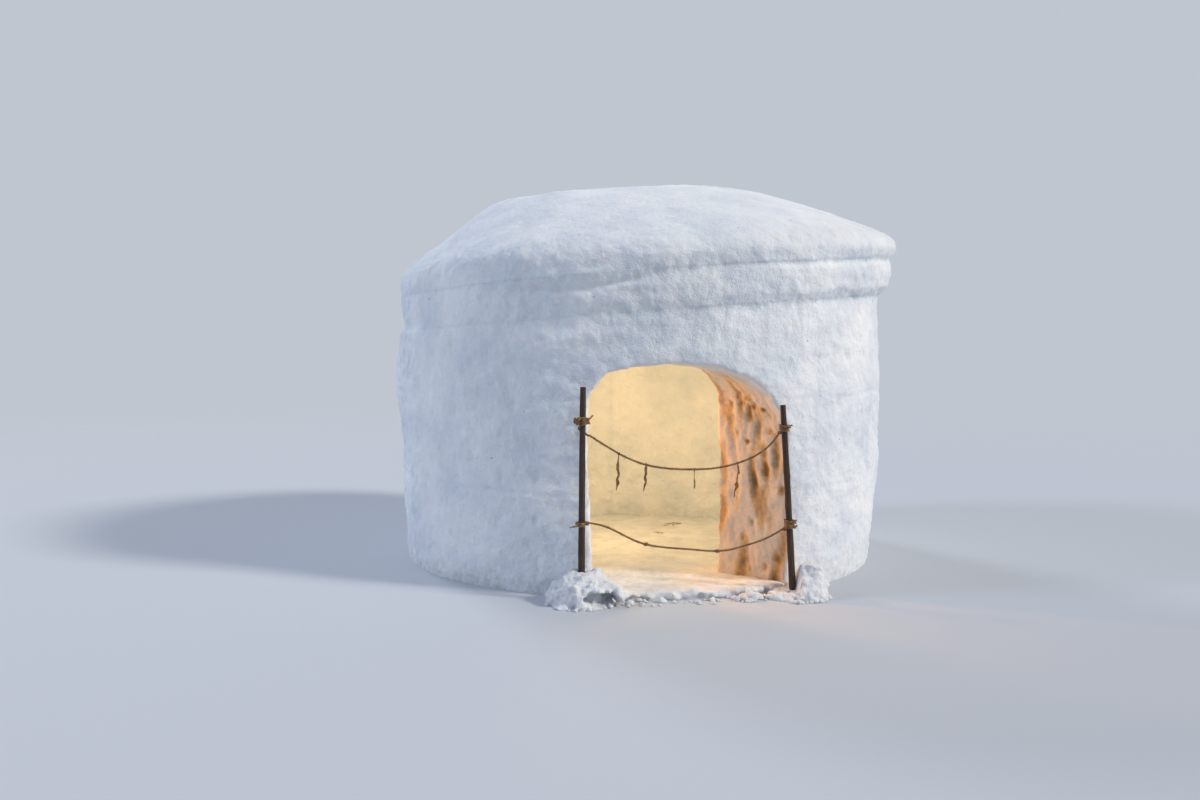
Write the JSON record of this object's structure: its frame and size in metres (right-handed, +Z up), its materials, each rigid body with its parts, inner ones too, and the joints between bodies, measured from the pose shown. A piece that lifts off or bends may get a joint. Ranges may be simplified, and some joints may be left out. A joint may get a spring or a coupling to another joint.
{
  "type": "snow hut",
  "caption": "Drum-shaped hut of packed snow with an overhanging rim and low roof, a splayed arched doorway, a vaulted room, and a stake-and-straw-rope barrier.",
  "frame": {"origin": "on the ground at the axis of the round wall, on the underside of the floor", "axes": "+Z up, the doorway faces -Y, +X to the right of someone who faces the doorway from outside"},
  "size_m": [3.7722, 3.875, 2.7517],
  "materials": {
    "packed_snow": "matt packed snow",
    "trodden_snow": "trodden snow",
    "stake_wood": "weathered dark wood",
    "straw_rope": "twisted straw",
    "straw_streamer": "dry straw"
  },
  "bodies": {
    "root": {"band_front": "packed_snow", "band_front_left": "packed_snow", "band_front_right": "packed_snow", "band_left": "packed_snow", "band_rear": "packed_snow", "band_rear_left": "packed_snow", "band_rear_right": "packed_snow", "band_right": "packed_snow", "door_arch": "packed_snow", "door_left_pier": "packed_snow", "door_right_pier": "packed_snow", "door_sill": "trodden_snow", "left_heap": "trodden_snow", "left_stake": "stake_wood", "lower_left_lashing": "straw_rope", "lower_right_lashing": "straw_rope", "lower_rope": "straw_rope", "right_heap": "trodden_snow", "right_stake": "stake_wood", "roof_crown": "packed_snow", "roof_front": "packed_snow", "roof_front_left": "packed_snow", "roof_front_right": "packed_snow", "roof_left": "packed_snow", "roof_rear": "packed_snow", "roof_rear_left": "packed_snow", "roof_rear_right": "packed_snow", "roof_right": "packed_snow", "snow_floor": "trodden_snow", "streamer_1": "straw_streamer", "streamer_2": "straw_streamer", "streamer_3": "straw_streamer", "streamer_4": "straw_streamer", "upper_left_lashing": "straw_rope", "upper_right_lashing": "straw_rope", "upper_rope": "straw_rope", "wall_left": "packed_snow", "wall_left_front": "packed_snow", "wall_left_rear": "packed_snow", "wall_rear_left": "packed_snow", "wall_rear_right": "packed_snow", "wall_right": "packed_snow", "wall_right_front": "packed_snow", "wall_right_rear": "packed_snow"}
  },
  "joints": []
}
